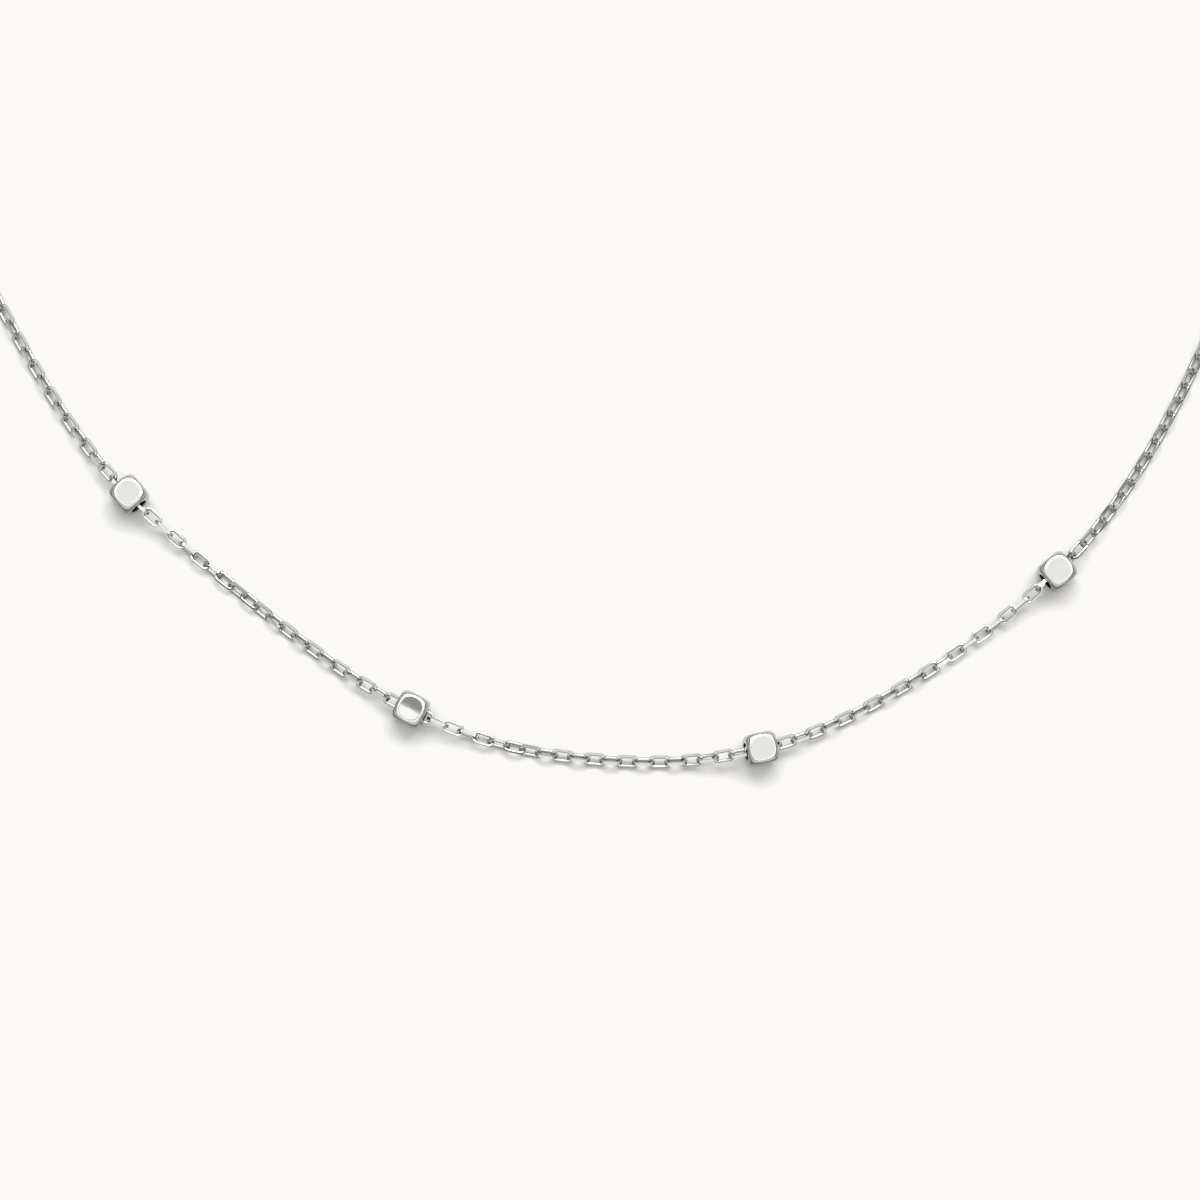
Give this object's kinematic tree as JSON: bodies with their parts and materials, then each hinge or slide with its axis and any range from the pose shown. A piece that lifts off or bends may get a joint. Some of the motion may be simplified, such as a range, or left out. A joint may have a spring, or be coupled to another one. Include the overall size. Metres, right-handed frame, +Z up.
{
  "type": "station necklace",
  "caption": "Closed necklace of fine flat-cut cable chain with small mirror-cut cube beads spaced evenly along it and a ring clasp at the back, laid flat as an open loop.",
  "frame": {"origin": "centre of the loop, on the surface that the necklace lies on", "axes": "+Z up from the surface; the front of the loop is towards -Y and the clasp towards +Y"},
  "size_m": [0.138, 0.1582, 0.0033],
  "materials": {
    "bead_metal": "mirror-cut faces on polished white gold",
    "chain_metal": "polished white gold wire with bright flat cuts",
    "clasp_metal": "polished white gold"
  },
  "bodies": {
    "root": {"bead_01": "bead_metal", "bead_02": "bead_metal", "bead_03": "bead_metal", "bead_04": "bead_metal", "bead_05": "bead_metal", "bead_06": "bead_metal", "bead_07": "bead_metal", "bead_08": "bead_metal", "bead_09": "bead_metal", "bead_10": "bead_metal", "bead_11": "bead_metal", "bead_12": "bead_metal", "chain_front": "chain_metal", "chain_back": "chain_metal", "clasp": "clasp_metal", "end_ring": "clasp_metal"}
  },
  "joints": []
}
